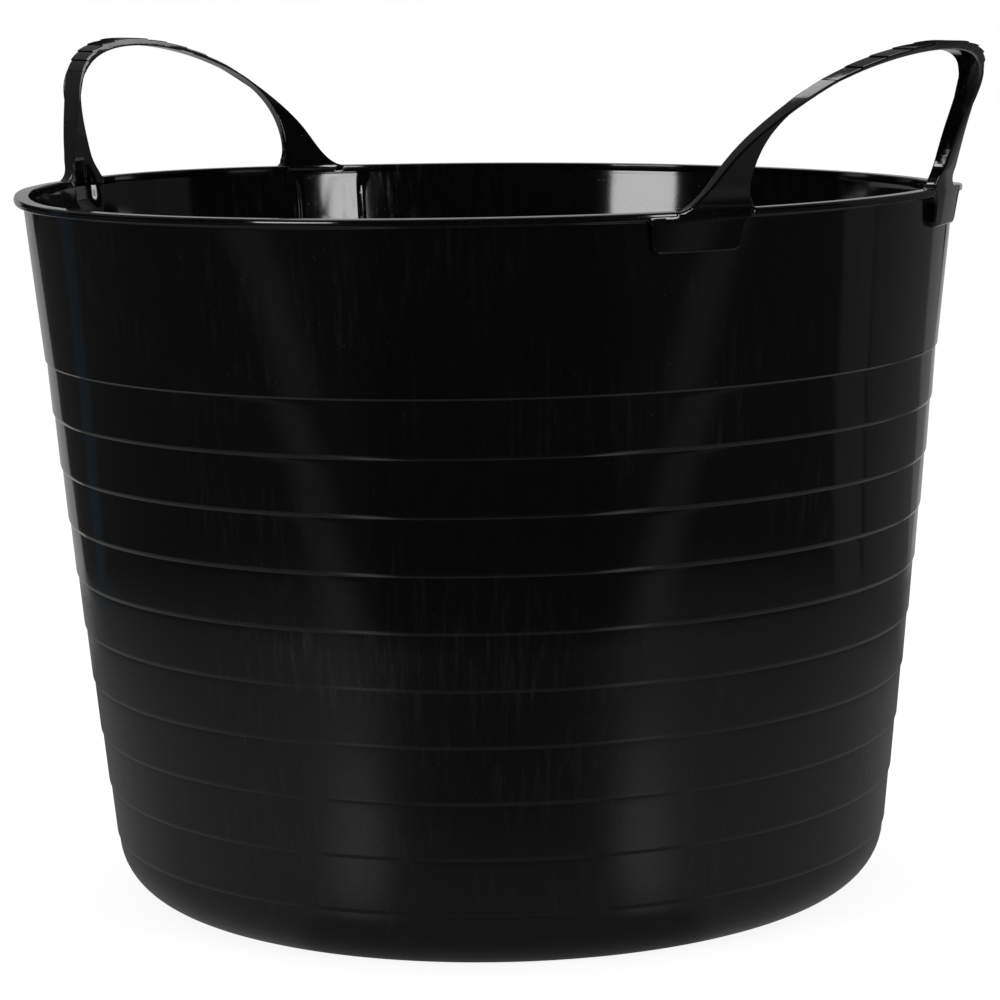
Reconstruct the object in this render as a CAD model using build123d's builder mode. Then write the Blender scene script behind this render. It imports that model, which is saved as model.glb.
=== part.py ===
"""Flexible builder's mixing tub: a round, tapered, stepped black tub with two arched handles.

Millimetres, +Z up. The origin is the centre of the base, on the surface that the tub stands on.
The handles are centred on +X (right) and -X (left); -Y is the front.
The real tub is one moulding. Each node here is one region of it, and neighbouring regions meet
face to face. The handles flex at their legs, so each leg has its own short flexure region.
"""
import os
from math import atan2, cos, sin, sqrt

from build123d import *

os.makedirs("parts", exist_ok=True)

# ---- Tub ------------------------------------------------------------------------------------
tub_height = 338.0          # floor to the top of the rim lip
rim_radius = 225.0          # outside of the rim lip
lip_thickness = 3.6
lip_overhang = 4.2          # lip beyond the outside of the wall
lip_rounding = 1.3
parting_ridge = 0.35        # fine ridge round the middle of the lip's edge
wall_thickness = 2.8
base_wall_radius = 187.7    # outside of the wall at the lowest step
wall_bow = 1.0              # how far the wall bows outwards between lip and lowest step

# ---- Steps round the wall -------------------------------------------------------------------
top_band = 74.8             # plain band under the lip, down to the first step
last_step = 28.3            # height of the lowest step
step_count = 10
step_depth = 1.0
step_rise = 3.5             # height of the chamfer at the foot of each band

# ---- Base -----------------------------------------------------------------------------------
corner_radius = 27.0
floor_thickness = 3.2
foot_ring_width = 16.0
foot_height = 2.0           # the floor's middle is raised this much above the foot ring
foot_slope = 4.0            # width of the ramp between the foot ring and the raised middle
gate_radius = 4.0
gate_height = 0.8

# ---- Handles --------------------------------------------------------------------------------
opening_half_width = 70.0   # half the hand opening, at its widest
opening_narrowing = 4.7     # how much nearer the middle the opening's side is at the lip
opening_crest_radius = 107.5
opening_shoulder_radius = 36.0
arch_height = 69.2          # top of the grip above the lip's top
arch_thickness = 5.0        # grip at its crest, from the hand opening up
arch_crest_radius = 88.5
leg_outer_width = 11.0      # leg, measured outwards from the opening's widest at flexure height
leg_flare = 19.0            # how much further the leg's root spreads along the lip
leg_foot_depth = 5.2        # radial depth of the leg where it meets the lip
leg_mid_depth = 9.6         # radial depth of the leg halfway up
grip_depth = 12.8           # radial depth of the grip
lean_mid = 12.7             # how far the handle's outside leans out halfway up
lean_top = 50.0             # how far it leans out at the top
grip_ridges = 5             # stepped ridges on each half of the grip
ridge_pitch = 11.8          # along the arch
ridge_depth = 0.5
grip_end_slope = 0.8        # slope of the arch's outside where grip and leg meet
root_height = 10.0          # fixed root of each leg, above the lip
flexure_height = 12.0       # part of each leg that bends

# ---- Lugs under the legs --------------------------------------------------------------------
lug_height = 13.0
lug_width = 37.0            # along the lip
lug_setback = 6.3           # from the hand opening's side at the lip out to the lug
lug_rounding = 3.0

# ---- Worked-out sizes -----------------------------------------------------------------------
lip_seat = tub_height - lip_thickness
first_step = lip_seat - top_band
step_pitch = (first_step - last_step) / (step_count - 1)
wall_top_radius = rim_radius - lip_overhang
leg_mid_height = arch_height * 0.42
cut_margin = 20.0           # overshoot of cutting tools beyond what they cut
leg_top_height = arch_height + 1.0


def wall_radius(height):
    """Outside radius of the wall's proud edges at a height: a straight taper with a slight bow."""
    share = (lip_seat - height) / (lip_seat - last_step)
    straight = wall_top_radius + (base_wall_radius - wall_top_radius) * share
    return straight + 4 * wall_bow * share * (1 - share)


def stepped_outline(inset):
    """Half-section points from the first step down to the last, moved inwards by inset."""
    points = []
    for step in range(step_count - 1):
        top = first_step - step * step_pitch
        points.append((wall_radius(top) - inset, top))
        points.append((wall_radius(top) - step_depth - inset, top - step_rise))
    points.append((wall_radius(last_step) - inset, last_step))
    return points


# ---- Floor ----------------------------------------------------------------------------------
corner_start = last_step - step_rise
corner_radius_top = wall_radius(last_step) - step_depth
foot_radius = corner_radius_top - sqrt(corner_radius**2 - (corner_radius - corner_start) ** 2)
panel_radius = foot_radius - foot_ring_width

with BuildPart() as tub_floor:
    with BuildSketch(Plane.XZ):
        with BuildLine():
            Polyline(
                (0, foot_height),
                (panel_radius - foot_slope, foot_height),
                (panel_radius, 0),
                (foot_radius, 0),
                (foot_radius, floor_thickness),
                (panel_radius, floor_thickness),
                (panel_radius - foot_slope, foot_height + floor_thickness),
                (0, foot_height + floor_thickness),
                close=True,
            )
        make_face()
    revolve(axis=Axis.Z)
    with BuildSketch(Plane.XY.offset(foot_height - gate_height)):
        Circle(gate_radius)
    extrude(amount=gate_height)

with BuildPart() as base_corner:
    with BuildSketch(Plane.XZ):
        with BuildLine():
            outer_foot = (foot_radius, 0)
            outer_edge = (corner_radius_top, corner_start)
            inner_edge = (corner_radius_top - wall_thickness, corner_start)
            inner_foot = (foot_radius, floor_thickness)
            TangentArc(outer_foot, outer_edge, tangent=(1, 0))
            Line(outer_edge, (wall_radius(last_step), last_step))
            Line((wall_radius(last_step), last_step), (wall_radius(last_step) - wall_thickness, last_step))
            Line((wall_radius(last_step) - wall_thickness, last_step), inner_edge)
            TangentArc(inner_foot, inner_edge, tangent=(1, 0))
            Line(inner_foot, outer_foot)
        make_face()
    revolve(axis=Axis.Z)

# ---- Wall -----------------------------------------------------------------------------------
with BuildPart() as stepped_wall:
    with BuildSketch(Plane.XZ):
        with BuildLine():
            Polyline(*stepped_outline(0), *reversed(stepped_outline(wall_thickness)), close=True)
        make_face()
    revolve(axis=Axis.Z)

with BuildPart() as upper_wall:
    with BuildSketch(Plane.XZ):
        with BuildLine():
            Polyline(
                (wall_top_radius, lip_seat),
                (wall_radius(first_step), first_step),
                (wall_radius(first_step) - wall_thickness, first_step),
                (wall_top_radius - wall_thickness, lip_seat),
                close=True,
            )
        make_face()
    revolve(axis=Axis.Z)

upper_draft = (wall_top_radius - wall_radius(first_step)) / top_band

# ---- Rim lip --------------------------------------------------------------------------------
lip_middle = (lip_seat + tub_height) / 2
lip_inner_radius = wall_top_radius - wall_thickness

with BuildPart() as rim_lip:
    with BuildSketch(Plane.XZ) as lip_section:
        with Locations(((lip_inner_radius + rim_radius) / 2, lip_middle)):
            Rectangle(rim_radius - lip_inner_radius, lip_thickness)
        fillet(lip_section.vertices().group_by(Axis.X)[-1], lip_rounding)
        with Locations((rim_radius - parting_ridge, lip_middle)):
            Rectangle(2 * parting_ridge, 2 * parting_ridge, rotation=45)
    revolve(axis=Axis.Z)


# ---- Handle ---------------------------------------------------------------------------------
# The arch is drawn as seen along X, with its heights counted from the top of the lip. A lean
# section, revolved about the tub's axis, then gives it its radial depth and its outward lean.
ARCH_PLANE = Plane(origin=(0, 0, tub_height), x_dir=(0, 1, 0), z_dir=(1, 0, 0))
LEAN_PLANE = Plane(origin=(0, 0, tub_height), x_dir=(1, 0, 0), z_dir=(0, -1, 0))

opening_height = arch_height - arch_thickness
shoulder_y = opening_half_width - opening_shoulder_radius
opening_centre = opening_height - opening_crest_radius
shoulder_reach = opening_crest_radius - opening_shoulder_radius
shoulder_z = opening_centre + sqrt(shoulder_reach**2 - shoulder_y**2)
shoulder_turn = atan2(shoulder_z - opening_centre, shoulder_y)
arch_centre = arch_height - arch_crest_radius
ridge_angle = ridge_pitch / arch_crest_radius
opening_foot = opening_half_width - opening_narrowing
leg_outside = opening_half_width + leg_outer_width
root_outside = leg_outside + leg_flare
flexure_top = root_height + flexure_height


def shoulder_point(turn, side=1):
    """A point of the opening's shoulder arc, turned up from the +Y (1) or -Y (-1) side."""
    return (
        side * (shoulder_y + opening_shoulder_radius * cos(turn)),
        shoulder_z + opening_shoulder_radius * sin(turn),
    )


def arch_point(angle, depth=0.0):
    """A point of the grip's outer arc, an angle away from the top, sunk by depth."""
    radius = arch_crest_radius - depth
    return radius * sin(angle), arch_centre + radius * cos(angle)


def ridge_outline():
    """The grip's stepped top from +Y to -Y: at each ridge it steps down, away from the crest."""
    half = []
    for ridge in range(1, grip_ridges + 1):
        half += [arch_point(ridge * ridge_angle), arch_point(ridge * ridge_angle, ridge_depth)]
    return half[::-1] + [(-y, z) for y, z in half]


def lean_arc(foot, middle, top):
    """The handle's inner or outer face in section: radii at the lip, halfway up and at the top."""
    return ThreePointArc((foot, 0), (middle, leg_mid_height), (top, leg_top_height))


grip_end_angle = grip_ridges * ridge_angle
grip_end = arch_point(grip_end_angle, ridge_depth)
grip_edge = arch_point(grip_end_angle)[0]

with BuildPart() as handle_blank:
    with BuildSketch(ARCH_PLANE):
        with BuildLine():
            Polyline(*ridge_outline())
            for side in (1, -1):
                Spline(
                    (side * grip_end[0], grip_end[1]),
                    (side * leg_outside, (root_height + flexure_top) / 2),
                    (side * root_outside, 0),
                    tangents=((side, -grip_end_slope), (side, 0)),
                )
            Line((-root_outside, 0), (root_outside, 0))
        make_face()
        with BuildLine():
            for side in (1, -1):
                TangentArc(
                    (side * opening_half_width, shoulder_z),
                    (side * opening_foot, 0),
                    tangent=(0, -1),
                )
                ThreePointArc(
                    shoulder_point(0, side),
                    shoulder_point(shoulder_turn / 2, side),
                    shoulder_point(shoulder_turn, side),
                )
            ThreePointArc(
                shoulder_point(shoulder_turn, 1),
                (0, opening_height),
                shoulder_point(shoulder_turn, -1),
            )
            Line((-opening_foot, 0), (opening_foot, 0))
        make_face(mode=Mode.SUBTRACT)
    extrude(amount=rim_radius + lean_top + cut_margin)
    with BuildSketch(LEAN_PLANE):
        with BuildLine():
            outer_foot = rim_radius
            outer_top = rim_radius + lean_top
            inner_foot = outer_foot - leg_foot_depth
            inner_top = outer_top - grip_depth
            lean_arc(outer_foot, rim_radius + lean_mid, outer_top)
            lean_arc(inner_foot, rim_radius + lean_mid - leg_mid_depth, inner_top)
            Line((inner_foot, 0), (outer_foot, 0))
            Line((inner_top, leg_top_height), (outer_top, leg_top_height))
        make_face()
    revolve(axis=Axis.Z, mode=Mode.INTERSECT)


def handle_region(low_y, high_y, low_z, high_z):
    """The right handle's region between two Y planes and two heights above the lip."""
    with BuildPart() as region:
        add(handle_blank.part)
        with Locations((0, (low_y + high_y) / 2, tub_height + (low_z + high_z) / 2)):
            Box(
                2 * (rim_radius + lean_top + cut_margin),
                high_y - low_y,
                high_z - low_z,
                mode=Mode.INTERSECT,
            )
    return region.part


def lug_region():
    """The pad under a leg's root: it fills the step between the wall and the lip's edge."""
    low_z = lip_seat - lug_height
    low_wall = wall_top_radius - upper_draft * lug_height
    middle_y = opening_foot + lug_setback + lug_width / 2
    with BuildPart() as lug:
        with BuildSketch(Plane.YZ) as pad:
            with Locations((-middle_y, lip_seat - lug_height / 2)):
                Rectangle(lug_width, lug_height)
            fillet(pad.vertices().group_by(Axis.Z)[0], lug_rounding)
        extrude(amount=rim_radius + cut_margin)
        with BuildSketch(Plane.XZ):
            with BuildLine():
                Polyline(
                    (wall_top_radius, lip_seat),
                    (low_wall, low_z),
                    (rim_radius, low_z),
                    (rim_radius, lip_seat),
                    close=True,
                )
            make_face()
        revolve(axis=Axis.Z, mode=Mode.INTERSECT)
    return lug.part


# ---- Copies of the handle's regions ---------------------------------------------------------
# Each leg region is made once, at the right front, and mirrored to the other three places.
far_y = root_outside + cut_margin
front_regions = {
    "lug": lug_region(),
    "leg_root": handle_region(-far_y, 0, 0, root_height),
    "flexure": handle_region(-far_y, 0, root_height, flexure_top),
    "leg": handle_region(-far_y, -grip_edge, flexure_top, leg_top_height + cut_margin),
}
right_grip = handle_region(-grip_edge, grip_edge, flexure_top, leg_top_height + cut_margin)

pieces = {
    "tub_floor": tub_floor.part,
    "base_corner": base_corner.part,
    "stepped_wall": stepped_wall.part,
    "upper_wall": upper_wall.part,
    "rim_lip": rim_lip.part,
    "right_grip": right_grip,
    "left_grip": mirror(right_grip, about=Plane.YZ),
}
for region_name, front_region in front_regions.items():
    back_region = mirror(front_region, about=Plane.XZ)
    pieces[f"right_front_{region_name}"] = front_region
    pieces[f"right_back_{region_name}"] = back_region
    pieces[f"left_front_{region_name}"] = mirror(front_region, about=Plane.YZ)
    pieces[f"left_back_{region_name}"] = mirror(back_region, about=Plane.YZ)

for piece_name, piece in pieces.items():
    piece.label = piece_name
    export_step(piece, f"parts/{piece_name}.step")
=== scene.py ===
"""Black polythene mixing tub with two flexing handles, on a white studio floor.

Shapes are worked out in millimetres and scaled to metres as each mesh is finished.
The frame is the CAD part's: base centre at the origin, +Z up, handles on +X and -X.
"""
import math

import bmesh
import bpy
from mathutils import Matrix, Vector


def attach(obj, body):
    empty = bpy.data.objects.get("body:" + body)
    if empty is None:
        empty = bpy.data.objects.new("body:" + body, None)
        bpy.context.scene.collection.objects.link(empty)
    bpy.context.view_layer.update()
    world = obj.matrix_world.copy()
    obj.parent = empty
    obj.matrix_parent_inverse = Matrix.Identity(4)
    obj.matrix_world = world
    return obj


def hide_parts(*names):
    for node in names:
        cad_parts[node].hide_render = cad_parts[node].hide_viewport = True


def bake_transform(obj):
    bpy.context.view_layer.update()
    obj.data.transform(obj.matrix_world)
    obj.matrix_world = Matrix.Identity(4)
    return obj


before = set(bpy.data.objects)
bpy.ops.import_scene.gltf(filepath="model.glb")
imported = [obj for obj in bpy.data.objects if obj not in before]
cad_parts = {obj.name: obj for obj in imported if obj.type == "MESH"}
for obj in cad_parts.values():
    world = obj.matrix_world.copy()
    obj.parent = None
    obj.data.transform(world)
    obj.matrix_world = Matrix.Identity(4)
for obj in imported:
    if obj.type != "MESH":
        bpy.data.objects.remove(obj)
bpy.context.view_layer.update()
MM = 0.001

# ---- Tub, in millimetres --------------------------------------------------------------------
TUB_HEIGHT = 338.0
RIM_RADIUS = 225.0
LIP_THICKNESS = 3.6
LIP_INNER_RADIUS = 218.0
LIP_SEAT = TUB_HEIGHT - LIP_THICKNESS
LIP_MIDDLE = TUB_HEIGHT - LIP_THICKNESS / 2
LIP_ROUNDING = 1.2
LIP_INNER_ROUNDING = 0.6
LIP_FILLET = 0.9
PARTING_RIDGE = 0.12
INNER_STEP = 0.05           # the lip's underside starts this far inside its inner edge
INNER_LEDGE = 0.15          # the lip stands this far inside the wall's inner face
INNER_LEDGE_FALL = 0.35
WALL_TOP_RADIUS = 220.8
WALL_FOOT_RADIUS = 187.7
WALL_BOW = 1.0
WALL_THICKNESS = 2.8
FIRST_STEP = 259.6
LAST_STEP = 28.3
STEP_COUNT = 10
STEP_DEPTH = 1.0
STEP_RISE = 3.5
LEDGE_DEPTH = 0.95          # each band curls in over this much at its foot
LEDGE_RISE = 1.0
STEP_ROUNDING = 1.3
CORNER_RADIUS = 27.0
CORNER_CUTS = 14
FLOOR_THICKNESS = 3.2
FOOT_RING_WIDTH = 16.0
FOOT_HEIGHT = 2.0
FOOT_SLOPE = 4.0

# How finely the mesh of the rim and upper wall is cut, from the lip's seat downwards.
FIRST_ROW = 1.4
FINE_ROW, COARSE_ROW = 1.3, 3.4
ROW_COUNT = 15              # of each kind
# Degrees and steps round one quarter; the part behind the lug is cut finest, for its recess.
QUADRANT = [(14.0, 10), (18.0, 72), (58.0, 44)]
WALL_STEPS = 300            # steps round the stepped wall

# ---- Handles, in millimetres; heights count from the lip's top -------------------------------
# Widths are lengths along the lip's edge: the handle's sides point at the tub's axis.
OPENING_HALF_WIDTH = 69.1
OPENING_FOOT = 66.2         # half the opening at the lip
OPENING_CREST_RADIUS = 87.9
OPENING_SHOULDER_RADIUS = 43.0
OPENING_HEIGHT = 63.3
ARCH_HEIGHT = 67.2
ARCH_RADIUS = 78.3
GRIP_END_ANGLE = 0.635
RIDGE_COUNT = 5
RIDGE_DEPTH = 0.5
RIDGE_SLOPE = (2.5, 0.8)    # a ridge fades out between these depths under the arch's top
LEG_MIDDLE = (83.2, 16.0)
FLARE_END = 102.4
# The ways in which the leg's outer edge leaves the grip, passes its middle and ends its flare.
GRIP_EASE = 36.8
ABOVE_MIDDLE = (24.0, -33.0)
BELOW_MIDDLE = (19.2, -27.0)
FLARE_EASE = 22.8
FLARE_DIP = [(104.4, -0.15), (106.4, -0.6), (107.8, -0.9)]   # on down into the lip
OPENING_SINK = -2.6         # under the opening the moulding runs inside the lip, at this height
LEG_FOOT_DEPTH = 4.7
LEG_TOE = 1.2               # the leg's inner face curves inwards by this much at its foot
LEG_TOE_HEIGHT = 14.0
LEG_SINK = 1.3              # the leg keeps its section this far down into the lip
LEG_MID_DEPTH = 8.6
GRIP_DEPTH = 12.6
LEAN_MID = 12.5
LEAN_TOP = 48.0
LEAN_MID_HEIGHT = 28.2
LEAN_TOP_HEIGHT = 68.2
LEAN_EASE = (-2.0, 10.0)    # heights between which the lean comes in
HANDLE_SET = 1.28           # degrees: each handle has taken a slight set, to the same side
ROOT_FILLET = 3.0
LUG_START = 69.6
LUG_END = 113.4
LUG_DRAFT = 0.8             # each side of the lug comes in this much by its foot
LUG_HEIGHT = 14.2
LUG_ROUNDING = 4.0
LUG_LEAN = 2.4              # the lug's face leans in this much by its foot
NEAR_FILLET = 4.6           # where the lip's lower edge turns down the lug's side
FAR_FILLET = 2.4
FACE_PROUD = 0.05           # the leg's face over the lip's edge
BURIED_DEPTH = 0.5          # how far the moulding draws back where only the lip shows
INSIDE_LIP = 4.6            # the moulding's inner side inside the lip, from the lip's inner edge
THINNEST = 2.2
FLEX_RADIUS = 217.5         # the flexures' middle
FLEX_HEIGHT = 8.0
FLEX_SPAN = (2.0, 14.0)     # heights between which a leg bends
FLAT_DEPTH = 10.0           # depth of the flat blank that is bent into the handle
OUTER_ROUNDING = 1.2
INNER_ROUNDING = 0.8
OUTER_SKIN = 1.3            # these outer layers of the blank keep their thickness
INNER_SKIN = 0.8

# ---- Where the lip makes way for the legs ----------------------------------------------------
FOOT_BEVEL = 2.4            # slope down from the leg's foot to the lip's inner edge
BEVEL_NEAR = (0.5, 4.0)     # it comes in between these distances past the opening's foot
BEVEL_FAR = (9.0, 1.0)      # and fades between these distances before the flare's end
LIP_PULL = 0.8              # the lip's edge is drawn back this far behind a leg's face
PULL_EASE = 1.5
PULL_OVERLAP = 0.5
LOWER_EDGE = 1.25           # the lug's face covers this much of the lip's edge

# ---- Sag of the mouth: the soft wall has settled, most at one side ---------------------------
# Degrees round from +X: from nothing to full, and from full back to nothing.
SAG = 2.0
HELD_ROUND = (143.5, 193.5, 218.5, 248.5)   # where the mouth keeps its height
SIDE_SAG = 4.7
SIDE_ROUND = (21.5, 55.5, 63.5, 183.5)
SAG_FADE = (30.0, 2.0)      # heights on a leg between which it comes in

# ---- Recess behind each lug -----------------------------------------------------------------
RECESS_DEPTH = 1.6
RECESS_START = 71.0
RECESS_END = 112.0
RECESS_NEAR_SIDE = 6.0      # width of its side towards the opening
RECESS_FAR_SIDE = 2.5
RECESS_SPREAD = 4.0         # how much wider each side is right under the lip
RECESS_SPREAD_FOOT = 322.0
RECESS_RISE = (290.0, 308.0, LIP_SEAT - 0.3, LIP_SEAT)
NICHE_DEPTH = 4.3           # where it runs up into the foot of a leg
NICHE_ALONG = (RECESS_START - 2, RECESS_START + RECESS_NEAR_SIDE, 88.0, 96.0)
NICHE_RISE = (318.0, 328.0)
NICHE_WALL = 1.4            # wall left behind a niche; past that its back swells into the lug
SWELL_ALONG = (1.0, 4.0)    # distances past the lug's start between which the swelling comes in
SWELL_RISE = (321.5, 323.5)
SWELL_CLEARANCE = 0.6       # it stays this far inside the lip's edge


# ---- Small tools ----------------------------------------------------------------------------
def smoothstep(low, high, value):
    """0 at low, 1 at high, an even S between and flat outside; high may be the lower one."""
    share = min(max((value - low) / (high - low), 0.0), 1.0)
    return share * share * (3.0 - 2.0 * share)


def plateau(start, full, full_end, end, value):
    """1 from full to full_end, easing to 0 at start and at end."""
    return smoothstep(start, full, value) * smoothstep(end, full_end, value)


def wall_radius(height):
    """Outside radius of the wall's proud edges at a height."""
    share = (LIP_SEAT - height) / (LIP_SEAT - LAST_STEP)
    straight = WALL_TOP_RADIUS + (WALL_FOOT_RADIUS - WALL_TOP_RADIUS) * share
    return straight + 4 * WALL_BOW * share * (1 - share)


def along_lip(x, y):
    """A point's distance from the middle of its handle, along the lip's edge."""
    return math.atan2(abs(y), abs(x)) * RIM_RADIUS


def sag(x, y):
    """How far the mouth has dropped at a point's place round the tub."""
    round_z = math.degrees(math.atan2(y, x)) % 360
    held, side = plateau(*HELD_ROUND, round_z), plateau(*SIDE_ROUND, round_z)
    return SAG * (1 - held) + SIDE_SAG * side


def recess(x, y, z):
    """How far the inside stands back at a point behind a lug.

    Behind two of the legs the recess stops under the lip. Behind the other two, which are
    opposite each other, it is deeper and runs on up into the foot of the leg.
    """
    arc = along_lip(x, y)
    spread = RECESS_SPREAD * smoothstep(RECESS_SPREAD_FOOT, LIP_SEAT, z) ** 2
    across = plateau(
        RECESS_START - spread, RECESS_START + RECESS_NEAR_SIDE,
        RECESS_END - RECESS_FAR_SIDE, RECESS_END + spread, arc)
    depth = RECESS_DEPTH * across * plateau(*RECESS_RISE, z)
    if x * y > 0:
        niche = NICHE_DEPTH * plateau(*NICHE_ALONG, arc) * smoothstep(*NICHE_RISE, z)
        depth = max(depth, niche)
    return depth


def radius_on_arc(low, middle, high):
    """The arc through three (radius, height) points, as a function from height to radius."""
    (x1, y1), (x2, y2), (x3, y3) = low, middle, high
    turn = 2 * (x1 * (y2 - y3) + x2 * (y3 - y1) + x3 * (y1 - y2))
    s1, s2, s3 = x1 * x1 + y1 * y1, x2 * x2 + y2 * y2, x3 * x3 + y3 * y3
    cx = (s1 * (y2 - y3) + s2 * (y3 - y1) + s3 * (y1 - y2)) / turn
    cy = (s1 * (x3 - x2) + s2 * (x1 - x3) + s3 * (x2 - x1)) / turn
    reach = math.hypot(x1 - cx, y1 - cy)
    side = 1 if x2 > cx else -1
    return lambda height: cx + side * math.sqrt(max(reach**2 - (height - cy) ** 2, 0.0))


def arc_points(cx, cy, radius, start, end, cuts):
    """Points on an arc, from start to end in degrees, both ends included."""
    turns = [math.radians(start + (end - start) * cut / cuts) for cut in range(cuts + 1)]
    return [(cx + radius * math.cos(turn), cy + radius * math.sin(turn)) for turn in turns]


def eased_points(start, start_way, end, end_way, cuts):
    """Points on a cubic from start to end, leaving and arriving along the two ways."""
    points = []
    for cut in range(cuts + 1):
        t = cut / cuts
        a, b = (1 + 2 * t) * (1 - t) ** 2, t * (1 - t) ** 2
        c, d = t * t * (3 - 2 * t), t * t * (t - 1)
        points.append(tuple(
            a * start[i] + b * start_way[i] + c * end[i] + d * end_way[i] for i in (0, 1)
        ))
    return points


def linked(name, bm, material):
    """Makes an object of a bmesh, with its material, and links it to the scene."""
    mesh = bpy.data.meshes.new(name)
    bm.to_mesh(mesh)
    bm.free()
    mesh.materials.append(material)
    obj = bpy.data.objects.new(name, mesh)
    bpy.context.scene.collection.objects.link(obj)
    return obj


def in_order(vert):
    """One number that rises with a point's height, then with its y, then with its x."""
    x, y, z = (round(value, 3) for value in vert.co)
    return x + 1e4 * y + 1e8 * z


def finished(name, bm, material):
    """Makes a piece of a bmesh in millimetres: scaled to metres, smooth, with even normals."""
    # Points go in order of place first, so that the same ones are merged in each run.
    bm.verts.sort(key=in_order)
    bmesh.ops.remove_doubles(bm, verts=bm.verts, dist=0.01)
    bmesh.ops.recalc_face_normals(bm, faces=bm.faces)
    bmesh.ops.scale(bm, vec=(MM, MM, MM), verts=bm.verts)
    piece = linked(name, bm, material)
    piece.data.shade_smooth()
    piece.data.set_sharp_from_angle(angle=math.radians(33))
    even = piece.modifiers.new("even_normals", "WEIGHTED_NORMAL")
    even.keep_sharp = True
    return piece


def bevelled(bm, edges, offset, segments, clamp):
    """Rounds the given edges."""
    bmesh.ops.bevel(
        bm, geom=edges, offset=offset, offset_type="OFFSET", affect="EDGES",
        segments=segments, profile=0.5, material=-1, clamp_overlap=clamp)


def rounded(bm, places, offset, segments):
    """Rounds the ring edges that lie at the given (radius, height) places."""
    rings = []
    for edge in bm.edges:
        ends = [(math.hypot(v.co.x, v.co.y), v.co.z) for v in edge.verts]
        for place in places:
            if all(math.dist(end, place) < 0.02 for end in ends):
                rings.append(edge)
    bevelled(bm, rings, offset, segments, True)


def revolved(outline, sectors, closed):
    """A (radius, height) outline turned about Z, with its own step count in each sector."""
    bm = bmesh.new()
    verts = [bm.verts.new((radius, 0.0, height)) for radius, height in outline]
    pairs = zip(verts, verts[1:] + verts[:1] if closed else verts[1:])
    section = verts + [bm.edges.new(pair) for pair in pairs]
    for degrees, steps in sectors:
        turned = bmesh.ops.spin(
            bm, geom=section, cent=(0, 0, 0), axis=(0, 0, 1), dvec=(0, 0, 0),
            angle=math.radians(degrees), steps=steps, use_merge=False, use_duplicate=False)
        section = turned["geom_last"]
    bmesh.ops.remove_doubles(bm, verts=bm.verts, dist=0.02)
    return bm


# ---- Materials ------------------------------------------------------------------------------
CARBON_BLACK_GLOSS = "#070708"
CARBON_BLACK_SATIN = "#08080a"
CEMENT_DUST = "#4a4640"
POLISHED, SPARKED = 0.07, 0.28      # roughness of the two mould finishes
FADE_HEIGHT = 0.02          # metres over which one turns into the other
DUST_COVER = 0.12           # how far the dust's colour hides the polythene's
DUST_ROUGHNESS = 0.24       # what it adds to the roughness
# Patterns, as repeats to the metre.
RUB_MARKS = 300.0           # 3.3 mm apart
RUB_STRETCH = 0.06          # each mark is about 55 mm long
RUB_PATCHES = 13.0          # 77 mm, about a hand's width
GRIT = 760.0                # 1.3 mm; real grit is about 0.3 mm, drawn coarser so that it shows
SWELLING = 22.0             # the moulding's faces swell and sink every 45 mm
SPARK_GRAIN = 1400.0        # 0.7 mm; real spark grain is about 0.1 mm, drawn coarser to show


def linear(hex_colour):
    """An sRGB hex colour as linear RGBA."""
    parts = [int(hex_colour[i:i + 2], 16) / 255 for i in (1, 3, 5)]
    rgb = [p / 12.92 if p <= 0.04045 else ((p + 0.055) / 1.055) ** 2.4 for p in parts]
    return (*rgb, 1.0)


def node(tree, kind, settings, inputs):
    """Adds a node with its settings. An input is a plain value or another node's output."""
    new = tree.nodes.new(kind)
    for key, value in settings.items():
        setattr(new, key, value)
    for key, value in inputs.items():
        if isinstance(value, bpy.types.NodeSocket):
            tree.links.new(value, new.inputs[key])
        else:
            new.inputs[key].default_value = value
    return new.outputs


def blank_material(name):
    """A material with an empty node tree, and the tree."""
    material = bpy.data.materials.new(name)
    material.use_nodes = True
    material.node_tree.nodes.clear()
    return material, material.node_tree


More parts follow.
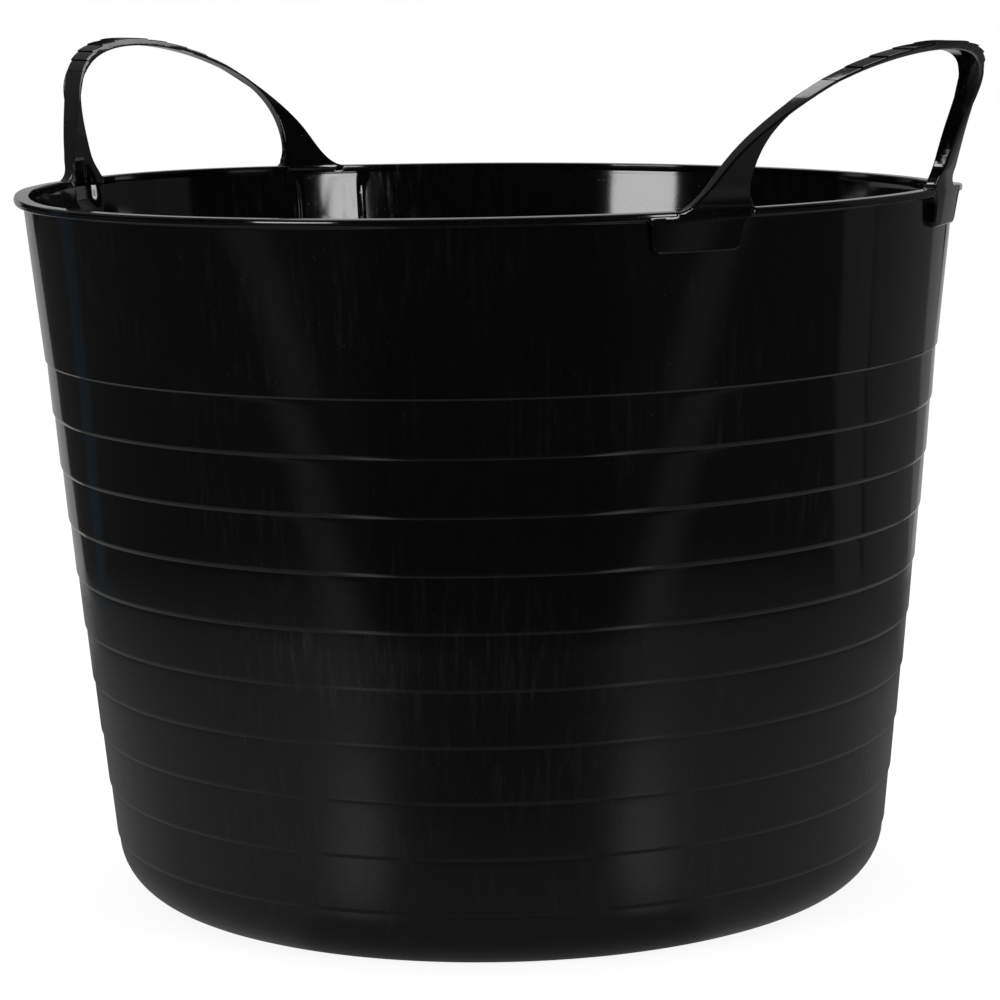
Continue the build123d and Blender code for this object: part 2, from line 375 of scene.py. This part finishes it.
def polythene(name, base_hex, glossy_above):
    """Moulded low-density polythene filled with carbon black.

    It is near black all through, waxy and slightly wavy. The upper bands come off a polished
    mould and are glossy. Below a height, in metres, the mould was sparked, which leaves a
    satin surface with a fine even grain.
    """
    material, tree = blank_material(name)
    place = node(tree, "ShaderNodeTexCoord", {}, {})["Object"]
    height = node(tree, "ShaderNodeSeparateXYZ", {}, {"Vector": place})["Z"]
    upright = node(tree, "ShaderNodeMapping", {}, {
        "Vector": place, "Scale": (1.0, 1.0, RUB_STRETCH)})["Vector"]
    # Rub marks run up and down the wall, in patches.
    fine = node(tree, "ShaderNodeTexNoise", {}, {
        "Vector": upright, "Scale": RUB_MARKS, "Detail": 6.0, "Roughness": 0.7})["Fac"]
    marks = node(tree, "ShaderNodeMapRange", {}, {
        "Value": fine, "From Min": 0.50, "From Max": 0.76})[0]
    broad = node(tree, "ShaderNodeTexNoise", {}, {
        "Vector": place, "Scale": RUB_PATCHES, "Detail": 5.0, "Roughness": 0.65})["Fac"]
    patches = node(tree, "ShaderNodeMapRange", {}, {
        "Value": broad, "From Min": 0.44, "From Max": 0.66})[0]
    rubs = node(tree, "ShaderNodeMath", {"operation": "MULTIPLY"}, {0: marks, 1: patches})[0]
    # Dust and grit lie on it as specks.
    grit = node(tree, "ShaderNodeTexNoise", {}, {
        "Vector": place, "Scale": GRIT, "Detail": 2.0, "Roughness": 0.6})["Fac"]
    specks = node(tree, "ShaderNodeMapRange", {}, {
        "Value": grit, "From Min": 0.68, "From Max": 0.76})[0]
    dust = node(tree, "ShaderNodeMath", {"operation": "MAXIMUM"}, {0: rubs, 1: specks})[0]
    dusty = node(tree, "ShaderNodeMath", {"operation": "MULTIPLY"}, {
        0: dust, 1: DUST_COVER})[0]
    colour = node(tree, "ShaderNodeMix", {"data_type": "RGBA"}, {
        0: dusty, 6: linear(base_hex), 7: linear(CEMENT_DUST)})[2]
    # 0 on the glossy bands, 1 on the grained ones.
    matte = node(tree, "ShaderNodeMapRange", {}, {
        "Value": height, "From Min": glossy_above, "From Max": glossy_above - FADE_HEIGHT})[0]
    finish = node(tree, "ShaderNodeMapRange", {}, {
        "Value": matte, "To Min": POLISHED, "To Max": SPARKED})[0]
    roughness = node(tree, "ShaderNodeMath", {"operation": "MULTIPLY_ADD"}, {
        0: dust, 1: DUST_ROUGHNESS, 2: finish})[0]
    swell = node(tree, "ShaderNodeTexNoise", {}, {
        "Vector": place, "Scale": SWELLING, "Detail": 1.0})["Fac"]
    wavy = node(tree, "ShaderNodeBump", {}, {
        "Height": swell, "Strength": 0.22, "Distance": 0.0008})[0]
    spark = node(tree, "ShaderNodeTexNoise", {}, {
        "Vector": place, "Scale": SPARK_GRAIN, "Detail": 3.0, "Roughness": 0.6})["Fac"]
    depth = node(tree, "ShaderNodeMapRange", {}, {
        "Value": matte, "To Min": 0.06, "To Max": 0.9})[0]
    grain = node(tree, "ShaderNodeMath", {"operation": "MULTIPLY"}, {0: spark, 1: depth})[0]
    grained = node(tree, "ShaderNodeBump", {}, {
        "Height": grain, "Normal": wavy, "Strength": 0.35, "Distance": 0.0002})[0]
    shader = node(tree, "ShaderNodeBsdfPrincipled", {}, {
        "Base Color": colour, "Roughness": roughness, "IOR": 1.51, "Normal": grained})
    node(tree, "ShaderNodeOutputMaterial", {}, {"Surface": shader["BSDF"]})
    return material


# The handles, rim and upper wall are glossy all over; the stepped wall turns satin half way down.
gloss = polythene("glossy_moulded_polythene", CARBON_BLACK_GLOSS, -1.0)
satin = polythene("satin_moulded_polythene", CARBON_BLACK_SATIN, 0.167)


# ---- Rim and upper wall ---------------------------------------------------------------------
def settled(vert):
    """Moves a point of the evenly turned rim and upper wall to its place."""
    x, y, z = vert.co
    radius, arc = math.hypot(x, y), along_lip(x, y)
    back = recess(x, y, z)
    if z < LIP_SEAT - 0.01:
        if radius > wall_radius(z) - WALL_THICKNESS / 2:
            # The outside follows only where the lug hides it.
            covered = smoothstep(*(LUG_START + past for past in SWELL_ALONG), arc)
            covered *= smoothstep(*SWELL_RISE, z)
            room = RIM_RADIUS - SWELL_CLEARANCE - radius
            back = min(max(back - NICHE_WALL, 0.0) * covered, room)
        wanted = radius + back
    elif radius > WALL_TOP_RADIUS + LIP_FILLET:
        # The leg's face covers the lip's edge, and the lug's face covers the edge's lower part.
        start, end = OPENING_FOOT - PULL_OVERLAP, FLARE_END - PULL_OVERLAP
        if z < LIP_SEAT + LOWER_EDGE:
            start, end = LUG_START - NEAR_FILLET, LUG_END
        wanted = radius - LIP_PULL * plateau(start, start + PULL_EASE, end - PULL_EASE, end, arc)
    else:
        # The leg's foot is set back, and a slope runs down from it to the lip's inner edge.
        near = [OPENING_FOOT + past for past in BEVEL_NEAR]
        far = [FLARE_END - before for before in BEVEL_FAR]
        slope = min(max(z - (TUB_HEIGHT - FOOT_BEVEL), 0.0), FOOT_BEVEL)
        wanted = max(radius, LIP_INNER_RADIUS + max(slope * plateau(*near, *far, arc), back))
    drop = sag(x, y) * smoothstep(FIRST_STEP + 2, LIP_SEAT, z)
    vert.co = (x * wanted / radius, y * wanted / radius, z - drop)


def rim_and_upper_wall():
    """The flat lip with its parting ridge, and the plain band of wall under it."""
    heights = [LIP_SEAT - FIRST_ROW - FINE_ROW * row for row in range(ROW_COUNT)]
    heights += [heights[-1] - COARSE_ROW * row for row in range(1, ROW_COUNT + 1)]
    heights.append(FIRST_STEP)
    outer = [(wall_radius(z), z) for z in heights]
    inner = [(radius - WALL_THICKNESS, z) for radius, z in outer]
    underside = LIP_INNER_RADIUS - INNER_STEP
    inner.insert(0, (underside + INNER_LEDGE, LIP_SEAT - INNER_LEDGE_FALL))
    lip = [
        (underside, LIP_SEAT),
        (LIP_INNER_RADIUS, TUB_HEIGHT - FOOT_BEVEL),
        (LIP_INNER_RADIUS, TUB_HEIGHT),
        (RIM_RADIUS, TUB_HEIGHT),
        (RIM_RADIUS, LIP_MIDDLE + 2 * PARTING_RIDGE),
        (RIM_RADIUS + PARTING_RIDGE, LIP_MIDDLE),
        (RIM_RADIUS, LIP_MIDDLE - 2 * PARTING_RIDGE),
        (RIM_RADIUS, LIP_SEAT),
        (WALL_TOP_RADIUS, LIP_SEAT),
    ]
    bm = revolved(lip + outer + inner[::-1], (QUADRANT + QUADRANT[::-1]) * 2, closed=True)
    rounded(bm, [(RIM_RADIUS, TUB_HEIGHT), (RIM_RADIUS, LIP_SEAT)], LIP_ROUNDING, 4)
    rounded(bm, [(LIP_INNER_RADIUS, TUB_HEIGHT)], LIP_INNER_ROUNDING, 3)
    rounded(bm, [(WALL_TOP_RADIUS, LIP_SEAT)], LIP_FILLET, 3)
    for vert in bm.verts:
        settled(vert)
    rim = finished("rim_and_upper_wall", bm, gloss)
    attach(rim, "tub")
    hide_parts("rim_lip", "upper_wall")


rim_and_upper_wall()


# ---- Stepped wall and floor -----------------------------------------------------------------
def corner(foot_radius, edge, foot_height):
    """The rounded base corner from the wall's edge to the foot, tangent to the floor."""
    out, up = edge[0] - foot_radius, edge[1] - foot_height
    bend = (out * out + up * up) / (2 * up)
    turn = math.degrees(math.atan2(out, bend - up))
    return arc_points(foot_radius, foot_height + bend, bend, turn - 90, -90, CORNER_CUTS)


def stepped_wall_and_floor():
    """The stepped bands, the rounded corner, and the floor raised inside its foot ring."""
    step_pitch = (FIRST_STEP - LAST_STEP) / (STEP_COUNT - 1)
    steps = []
    for step in range(STEP_COUNT):
        top = FIRST_STEP - step * step_pitch
        steps.append((wall_radius(top), top))
        steps.append((wall_radius(top) - LEDGE_DEPTH, top - LEDGE_RISE))
        steps.append((wall_radius(top) - STEP_DEPTH, top - STEP_RISE))
    edge_radius, edge_height = steps.pop()
    reach = CORNER_RADIUS**2 - (CORNER_RADIUS - edge_height) ** 2
    foot_radius = edge_radius - math.sqrt(reach)
    panel_radius = foot_radius - FOOT_RING_WIDTH
    base = [(panel_radius, 0.0), (panel_radius - FOOT_SLOPE, FOOT_HEIGHT), (0.0, FOOT_HEIGHT)]
    outside = steps + corner(foot_radius, (edge_radius, edge_height), 0.0) + base
    inside = [(radius - WALL_THICKNESS, z) for radius, z in steps]
    inside += corner(foot_radius, (edge_radius - WALL_THICKNESS, edge_height), FLOOR_THICKNESS)
    inside += [(radius, z + FLOOR_THICKNESS) for radius, z in base]
    bm = revolved(inside[::-1] + outside, [(360.0, WALL_STEPS)], closed=False)
    rounded(bm, steps[3::3], STEP_ROUNDING, 4)
    wall = finished("stepped_wall_and_floor", bm, satin)
    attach(wall, "tub")
    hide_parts("stepped_wall", "base_corner", "tub_floor")


stepped_wall_and_floor()

# ---- Handles --------------------------------------------------------------------------------
outer_radius = radius_on_arc(
    (RIM_RADIUS, 0),
    (RIM_RADIUS + LEAN_MID, LEAN_MID_HEIGHT),
    (RIM_RADIUS + LEAN_TOP, LEAN_TOP_HEIGHT))
inner_radius = radius_on_arc(
    (RIM_RADIUS - LEG_FOOT_DEPTH, 0),
    (RIM_RADIUS + LEAN_MID - LEG_MID_DEPTH, LEAN_MID_HEIGHT),
    (RIM_RADIUS + LEAN_TOP - GRIP_DEPTH, LEAN_TOP_HEIGHT))
arch_centre = ARCH_HEIGHT - ARCH_RADIUS
ridge_angle = GRIP_END_ANGLE / RIDGE_COUNT

# Where the flat blank is cut, so that it bends evenly: close together at the lug, the flexure
# and the legs, and further apart over the grip.
ROWS = [-19.1 + row for row in range(37)] + [18.0 + 2.6 * row for row in range(19)]
COLUMNS = [2.9 * column + 0.7 for column in range(-19, 19)]
COLUMNS += [side * (54.4 + 1.3 * column) for column in range(48) for side in (-1, 1)]
RIDGE_EDGE = 0.004          # half the width of a ridge's steep side, in radians


def half_outline():
    """Half of the handle as seen along X, both lugs included: (y, height) from crest to crest.

    It runs down the outside of one leg, round its lug, and up its inner side.
    """
    shoulder_y = OPENING_HALF_WIDTH - OPENING_SHOULDER_RADIUS
    crest_z = OPENING_HEIGHT - OPENING_CREST_RADIUS
    shoulder_reach = OPENING_CREST_RADIUS - OPENING_SHOULDER_RADIUS
    shoulder_z = crest_z + math.sqrt(shoulder_reach**2 - shoulder_y**2)
    shoulder_turn = math.degrees(math.atan2(shoulder_z - crest_z, shoulder_y))
    grip_end = 90 - math.degrees(GRIP_END_ANGLE)
    grip_way = (GRIP_EASE * math.cos(GRIP_END_ANGLE), GRIP_EASE * -math.sin(GRIP_END_ANGLE))
    points = arc_points(0, arch_centre, ARCH_RADIUS, 90, grip_end, 30)
    points += eased_points(points[-1], grip_way, LEG_MIDDLE, ABOVE_MIDDLE, 16)[1:]
    points += eased_points(LEG_MIDDLE, BELOW_MIDDLE, (FLARE_END, 0.0), (FLARE_EASE, 0.0), 18)[1:]
    # Past the flare the outline dips into the lip, then turns down round the lug.
    far_edge, near_edge = LUG_END + FAR_FILLET, LUG_START - NEAR_FILLET
    points += FLARE_DIP + [(far_edge, FLARE_DIP[-1][1])]
    points += arc_points(far_edge, -LIP_THICKNESS - FAR_FILLET, FAR_FILLET, 90, 180, 5)
    foot_z = -LIP_THICKNESS - LUG_HEIGHT + LUG_ROUNDING
    points += arc_points(LUG_END - LUG_DRAFT - LUG_ROUNDING, foot_z, LUG_ROUNDING, 0, -90, 7)
    points += arc_points(LUG_START + LUG_DRAFT + LUG_ROUNDING, foot_z, LUG_ROUNDING, -90, -180, 7)
    points += arc_points(near_edge, -LIP_THICKNESS - NEAR_FILLET, NEAR_FILLET, 0, 90, 7)
    corner_y = OPENING_FOOT - ROOT_FILLET
    points += [(near_edge, OPENING_SINK), (corner_y, OPENING_SINK)]
    points += arc_points(corner_y, ROOT_FILLET, ROOT_FILLET, -90, 0, 6)
    for cut in range(1, 8):
        height = ROOT_FILLET + (shoulder_z - ROOT_FILLET) * cut / 8
        narrowing = ((shoulder_z - height) / (shoulder_z - ROOT_FILLET)) ** 2
        width = OPENING_HALF_WIDTH - (OPENING_HALF_WIDTH - OPENING_FOOT) * narrowing
        points.append((width, height))
    points += arc_points(shoulder_y, shoulder_z, OPENING_SHOULDER_RADIUS, 0, shoulder_turn, 16)
    points += arc_points(0, crest_z, OPENING_CREST_RADIUS, shoulder_turn, 90, 16)[1:]
    return points


def buried(across, height):
    """1 where the moulding lies inside the lip, so that the lip's own edge shows."""
    under_opening = smoothstep(OPENING_FOOT + 1, OPENING_FOOT - 0.5, across)
    under_opening *= smoothstep(-0.8, -2.0, height)
    past_flare = smoothstep(FLARE_END - 1, FLARE_END + 2, across)
    past_flare *= smoothstep(-2.3, -1.4, height)
    return max(under_opening, past_flare)


def with_ridges(along, height):
    """A point of the flat blank's face, lowered where it lies between the grip's ridges."""
    turn = math.atan2(along, height - arch_centre)
    arch = math.hypot(along, height - arch_centre)
    tooth = abs(turn) / ridge_angle
    if 1.0 < tooth < RIDGE_COUNT + 0.02:
        near_top = smoothstep(*(ARCH_RADIUS - below for below in RIDGE_SLOPE), arch)
        drop = RIDGE_DEPTH * (1.0 - (tooth % 1.0)) * near_top
        along -= drop * math.sin(turn)
        height -= drop * math.cos(turn)
    return along, height


def faces_at(along, height, back):
    """The handle's inner and outer radius at a point of its outline."""
    lean = outer_radius(max(height, 0.0)) - RIM_RADIUS
    outer = RIM_RADIUS + FACE_PROUD + lean * smoothstep(*LEAN_EASE, height)
    outer -= BURIED_DEPTH * buried(abs(along), height)
    outer -= LUG_LEAN * max(-LIP_THICKNESS - height, 0.0) / LUG_HEIGHT
    if height > -LEG_SINK:
        toe = LEG_TOE * max(1 - max(height, 0.0) / LEG_TOE_HEIGHT, 0.0) ** 2
        inner = max(inner_radius(max(height, 0.0)) - toe, LIP_INNER_RADIUS + back)
    elif height > -LIP_THICKNESS - 0.1:
        inner = LIP_INNER_RADIUS + INSIDE_LIP
    else:
        inner = wall_radius(TUB_HEIGHT + height) - WALL_THICKNESS / 2 + back
    return min(inner, outer - THINNEST), outer


def bent(vert, lean_set):
    """Moves a point of the flat blank (depth, along, height) to its place on the handle at +X."""
    depth, along, height = vert.co
    along, height = with_ridges(along, height)
    across, way = math.cos(along / RIM_RADIUS), math.sin(along / RIM_RADIUS)
    inner, outer = faces_at(along, height, recess(across, way, TUB_HEIGHT + height))
    if FLAT_DEPTH - depth < OUTER_SKIN:
        radius = outer - (FLAT_DEPTH - depth)
    elif depth < INNER_SKIN:
        radius = inner + depth
    else:
        share = (depth - INNER_SKIN) / (FLAT_DEPTH - OUTER_SKIN - INNER_SKIN)
        radius = inner + INNER_SKIN + share * (outer - inner - OUTER_SKIN - INNER_SKIN)
    # The set turns the handle about the middle of its flexures.
    turned = math.radians(lean_set) * smoothstep(*FLEX_SPAN, height)
    out, up = radius - FLEX_RADIUS, height - FLEX_HEIGHT
    radius = FLEX_RADIUS + out * math.cos(turned) + up * math.sin(turned)
    height = FLEX_HEIGHT + up * math.cos(turned) - out * math.sin(turned)
    side = 1 if lean_set > 0 else -1
    drop = sag(side * across, side * way) * smoothstep(*SAG_FADE, height)
    vert.co = (radius * across, radius * way, TUB_HEIGHT + height - drop)


def cut_across(bm, where, way):
    """Cuts the whole mesh along a plane."""
    bmesh.ops.bisect_plane(
        bm, geom=bm.verts[:] + bm.edges[:] + bm.faces[:], dist=0.0001,
        plane_co=where, plane_no=way, clear_outer=False, clear_inner=False)


def handle(name, sign):
    """One leg-grip-leg handle with both lugs, as one moulding."""
    bm = bmesh.new()
    half = half_outline()
    outline = [(-y, z) for y, z in half[::-1]][:-1] + half[:-1]
    blank = bm.faces.new([bm.verts.new((0.0, y, z)) for y, z in outline])
    grown = bmesh.ops.extrude_face_region(bm, geom=[blank])
    outer = [v for v in grown["geom"] if isinstance(v, bmesh.types.BMVert)]
    bmesh.ops.translate(bm, verts=outer, vec=(FLAT_DEPTH, 0, 0))
    for depth, rounding, segments in ((FLAT_DEPTH, OUTER_ROUNDING, 4), (0.0, INNER_ROUNDING, 3)):
        rims = [e for e in bm.edges if all(abs(v.co.x - depth) < 0.001 for v in e.verts)]
        bevelled(bm, rims, rounding, segments, False)
    for row in ROWS:
        cut_across(bm, (0, 0, row), (0, 0, 1))
    for column in COLUMNS:
        cut_across(bm, (0, column, 0), (0, 1, 0))
    for ridge in range(-RIDGE_COUNT, RIDGE_COUNT + 1):
        if ridge:
            for edge in (-RIDGE_EDGE, RIDGE_EDGE):
                turn = ridge * ridge_angle + edge * (1 if ridge > 0 else -1)
                cut_across(bm, (0, 0, arch_centre), (0, math.cos(turn), -math.sin(turn)))
    for vert in bm.verts:
        bent(vert, sign * HANDLE_SET)
    if sign < 0:
        half_turn = Matrix.Rotation(math.pi, 3, "Z")
        bmesh.ops.rotate(bm, verts=bm.verts, cent=(0, 0, 0), matrix=half_turn)
    obj = finished(name, bm, gloss)
    side = "right" if sign > 0 else "left"
    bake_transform(obj)
    regions = [f"{side}_{end}_{part}" for end in ("front", "back")
               for part in ("lug", "leg_root", "flexure", "leg")]
    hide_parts(f"{side}_grip", *regions)


handle("right_handle_moulding", 1)
handle("left_handle_moulding", -1)

# ---- Camera ---------------------------------------------------------------------------------
# The camera and the studio are set out in metres with the camera on -Y, then turned about Z.
TURN = Matrix.Rotation(math.radians(43.46), 4, "Z")
CAMERA_DISTANCE = 1.60961
CAMERA_HEIGHT = 0.43510
LENS = 120.72
SENSOR = 36.0
YAW, PITCH, ROLL = 0.00167, 0.15533, 0.0203


def set_camera():
    """Places the camera by its distance, height and three angles."""
    forward = Vector((
        math.sin(YAW) * math.cos(PITCH), math.cos(YAW) * math.cos(PITCH), -math.sin(PITCH)))
    level = Vector((math.cos(YAW), -math.sin(YAW), 0.0))
    down = forward.cross(level)
    across = level * math.cos(ROLL) + down * math.sin(ROLL)
    upward = level * math.sin(ROLL) - down * math.cos(ROLL)
    data = bpy.data.cameras.new("camera")
    data.lens = LENS
    data.sensor_width = SENSOR
    data.clip_end = 100.0
    camera = bpy.data.objects.new("camera", data)
    bpy.context.scene.collection.objects.link(camera)
    pose = Matrix((across, upward, -forward)).transposed().to_4x4()
    pose.translation = Vector((0.0, -CAMERA_DISTANCE, CAMERA_HEIGHT))
    camera.matrix_world = TURN @ pose
    bpy.context.scene.camera = camera


set_camera()

# ---- Studio: floor and surroundings ---------------------------------------------------------
WHITE = (1, 1, 1, 1)
FLOOR_GREY = (0.35, 0.35, 0.35, 1)
FLOOR_GLOW = 0.88
FILL = 0.35
FLOOR_RADIUS = 60.0


def stage_mesh(name, bm, material):
    """Links a mesh of the studio, which isn't part of the tub."""
    bmesh.ops.transform(bm, matrix=TURN, verts=bm.verts)
    obj = linked(name, bm, material)
    return obj


def disc(radius, segments, lift):
    """A filled circle about the tub's axis."""
    bm = bmesh.new()
    bmesh.ops.create_circle(bm, cap_ends=True, segments=segments, radius=radius)
    bmesh.ops.translate(bm, verts=bm.verts, vec=(0, 0, lift))
    return bm


def seen_ray(tree):
    """1 for camera, glossy and transmission rays, 0 for the rest."""
    path = node(tree, "ShaderNodeLightPath", {}, {})
    seen = path["Is Camera Ray"]
    for name in ("Is Glossy Ray", "Is Transmission Ray"):
        seen = node(tree, "ShaderNodeMath", {"operation": "MAXIMUM"}, {0: seen, 1: path[name]})[0]
    return seen


def white_floor():
    """A grey floor that takes the tub's shadow, and shows white to the camera."""
    paint, tree = blank_material("white_studio_paint")
    matt = node(tree, "ShaderNodeBsdfDiffuse", {}, {"Color": FLOOR_GREY})[0]
    level = node(tree, "ShaderNodeMath", {"operation": "MULTIPLY"}, {
        0: seen_ray(tree), 1: FLOOR_GLOW})[0]
    glow = node(tree, "ShaderNodeEmission", {}, {"Color": WHITE, "Strength": level})[0]
    both = node(tree, "ShaderNodeAddShader", {}, {0: matt, 1: glow})[0]
    node(tree, "ShaderNodeOutputMaterial", {}, {"Surface": both})
    stage_mesh("studio_floor", disc(FLOOR_RADIUS, 96, 0.0), paint)


def white_surroundings():
    """A world that is white to look at and lights the tub at a plain level."""
    world = bpy.data.worlds.new("studio")
    bpy.context.scene.world = world
    world.use_nodes = True
    tree = world.node_tree
    tree.nodes.clear()
    fill = node(tree, "ShaderNodeBackground", {}, {"Color": WHITE, "Strength": FILL})[0]
    white = node(tree, "ShaderNodeBackground", {}, {"Color": WHITE, "Strength": 1.0})[0]
    mixed = node(tree, "ShaderNodeMixShader", {}, {0: seen_ray(tree), 1: fill, 2: white})[0]
    node(tree, "ShaderNodeOutputWorld", {}, {"Surface": mixed})


white_floor()
white_surroundings()

# ---- Studio: cards --------------------------------------------------------------------------
# Cards that only the gloss sees, as black glossy goods are lit: a lit patch of floor round the
# tub, a white panel close behind it, paler flags to the right, and dark beyond.
ROOM_RADIUS, ROOM_HEIGHT = 3.0, 3.2
PANEL_FRONT, PANEL_BACK, PANEL_TOP = 0.44, 0.50, 0.44
PANEL_LEFT, PANEL_RIGHT = -0.52, 0.42
# Each card lies a little higher than the one that it covers.
LIT_FLOOR_LIFT, DARK_LIFT, CARD_LIFT, PANEL_LIFT = 0.0006, 0.001, 0.002, 0.003
WALL_INSET = 0.1
PATCH_GLOW, LEAST_GLOW = 0.20, 0.018
CEILING_GLOW = 0.16
# Colour of a glowing card that only the gloss sees: a painted bluish reflection on the tub.
REFLECTED_BLUE_GLOW = linear("#a8c4dc")


def glowing(name, strength, colour):
    """A card's paint, with a plain strength or a function that makes nodes for it."""
    paint, tree = blank_material(name)
    if callable(strength):
        strength = strength(tree)
    shine = node(tree, "ShaderNodeEmission", {}, {"Color": colour, "Strength": strength})[0]
    node(tree, "ShaderNodeOutputMaterial", {}, {"Surface": shine})
    return paint


def card(name, bm, strength, colour=WHITE):
    """Stages a glowing card that shows in reflections alone."""
    obj = stage_mesh(name, bm, glowing(name, strength, colour))
    for flag in ("camera", "diffuse", "transmission", "volume_scatter", "shadow"):
        setattr(obj, "visible_" + flag, False)


def sector(start, end, inner, lift=CARD_LIFT):
    """A floor card and the wall card beyond it, from start to end degrees, 90 being behind."""
    outer = ROOM_RADIUS - 10 * lift
    outline = [(inner, lift), (outer, lift), (outer, ROOM_HEIGHT)]
    bm = revolved(outline, [(end - start, 60)], closed=False)
    turn = Matrix.Rotation(math.radians(start), 3, "Z")
    bmesh.ops.rotate(bm, verts=bm.verts, cent=(0, 0, 0), matrix=turn)
    return bm


def panel():
    """A strip of floor and an upright sheet at its back edge."""
    bm = bmesh.new()
    row = [(PANEL_FRONT, PANEL_LIFT), (PANEL_BACK, PANEL_LIFT), (PANEL_BACK, PANEL_TOP)]
    left, right = [[bm.verts.new((x, y, z)) for y, z in row] for x in (PANEL_LEFT, PANEL_RIGHT)]
    for here in (0, 1):
        bm.faces.new((left[here], left[here + 1], right[here + 1], right[here]))
    return bm


def lit_floor(tree):
    """Light on the floor: strong round the tub, weak in front, with a streak towards each lamp."""
    place = node(tree, "ShaderNodeTexCoord", {}, {})["Object"]
    set_out = node(tree, "ShaderNodeMapping", {}, {
        "Vector": place, "Rotation": (0, 0, -TURN.to_euler().z)})["Vector"]
    reach = node(tree, "ShaderNodeVectorMath", {"operation": "LENGTH"}, {0: set_out})["Value"]
    # The turn away from straight in front, in radians, the same to both sides.
    apart = node(tree, "ShaderNodeSeparateXYZ", {}, {"Vector": set_out})
    sideways = node(tree, "ShaderNodeMath", {"operation": "ABSOLUTE"}, {0: apart["X"]})[0]
    forwards = node(tree, "ShaderNodeMath", {"operation": "MULTIPLY"}, {
        0: apart["Y"], 1: -1.0})[0]
    turn = node(tree, "ShaderNodeMath", {"operation": "ARCTAN2"}, {
        0: sideways, 1: forwards})[0]
    # The patch round the tub.
    smooth = {"interpolation_type": "SMOOTHSTEP"}
    near = node(tree, "ShaderNodeMapRange", smooth, {
        "Value": reach, "From Min": 0.42, "From Max": 0.85, "To Min": 1.0, "To Max": 0.12})[0]
    aside = node(tree, "ShaderNodeMapRange", smooth, {
        "Value": turn, "From Min": 0.40, "From Max": 0.62, "To Min": 0.10})[0]
    foot = node(tree, "ShaderNodeMapRange", smooth, {
        "Value": reach, "From Min": 0.38, "From Max": 0.26, "To Max": 0.62})[0]
    where = node(tree, "ShaderNodeMath", {"operation": "MAXIMUM"}, {0: aside, 1: foot})[0]
    patch = node(tree, "ShaderNodeMath", {"operation": "MULTIPLY"}, {0: near, 1: where})[0]
    # The streaks, which curve outwards and fade both at the tub's foot and further off.
    middle = node(tree, "ShaderNodeMath", {"operation": "MULTIPLY_ADD"}, {
        0: reach, 1: 0.40, 2: 0.36})[0]
    off = node(tree, "ShaderNodeMath", {"operation": "SUBTRACT"}, {0: turn, 1: middle})[0]
    off = node(tree, "ShaderNodeMath", {"operation": "ABSOLUTE"}, {0: off})[0]
    streak = node(tree, "ShaderNodeMapRange", smooth, {
        "Value": off, "From Min": 0.14, "From Max": 0.0, "To Max": 3.4})[0]
    fading = node(tree, "ShaderNodeMapRange", smooth, {
        "Value": reach, "From Min": 0.50, "From Max": 0.32, "To Min": 0.14})[0]
    starting = node(tree, "ShaderNodeMapRange", smooth, {
        "Value": reach, "From Min": 0.22, "From Max": 0.29, "To Min": 0.0})[0]
    fading = node(tree, "ShaderNodeMath", {"operation": "MULTIPLY"}, {
        0: fading, 1: starting})[0]
    lit = node(tree, "ShaderNodeMath", {"operation": "MULTIPLY_ADD"}, {
        0: streak, 1: fading, 2: patch})[0]
    return node(tree, "ShaderNodeMath", {"operation": "MULTIPLY_ADD"}, {
        0: lit, 1: PATCH_GLOW, 2: LEAST_GLOW})[0]


card("lit_floor_card", disc(ROOM_RADIUS, 96, LIT_FLOOR_LIFT), lit_floor)
card("dark_surround_card", sector(0, 360, ROOM_RADIUS - WALL_INSET, DARK_LIFT), 0.012)
card("right_far_card", sector(48, 63, 0.43), 0.21)
card("right_dim_card", sector(13, 48, 0.55), 0.10)
card("right_near_card", sector(0, 13, 0.55), 0.12)
# A pale blue glowing card on the left, for a painted bluish reflection on the tub's gloss.
card("left_blue_card", sector(146, 153, 0.70), 0.12, REFLECTED_BLUE_GLOW)
card("white_panel_card", panel(), 0.40)
card("ceiling_card", disc(ROOM_RADIUS, 64, ROOM_HEIGHT), CEILING_GLOW)
upper_back = [(ROOM_RADIUS - WALL_INSET, 1.3), (ROOM_RADIUS - WALL_INSET, ROOM_HEIGHT)]
card("upper_back_card", revolved(upper_back, [(180, 60)], closed=False), CEILING_GLOW)


# ---- Studio: lamps --------------------------------------------------------------------------
def softbox(name, place, target, width, height, strength):
    """A rectangular lamp at a place, facing a target."""
    data = bpy.data.lights.new(name, "AREA")
    data.shape = "RECTANGLE"
    data.size, data.size_y = width, height
    data.energy = strength * math.pi * width * height
    lamp = bpy.data.objects.new(name, data)
    bpy.context.scene.collection.objects.link(lamp)
    way = Vector(place) - Vector(target)
    facing = way.to_track_quat("Z", "Y").to_matrix().to_4x4()
    lamp.matrix_world = TURN @ Matrix.Translation(place) @ facing


softbox("right_strip", (1.333, -1.479, 0.64), (0, 0, 0.45), 0.42, 0.60, 11.0)
softbox("left_strip", (-1.752, -1.783, 0.64), (0, 0, 0.45), 0.82, 0.60, 11.0)
softbox("top_box", (0.0, 0.75, 1.55), (0, 0, 0.3), 0.9, 0.7, 2.5)

bpy.context.scene.view_settings.view_transform = "Standard"
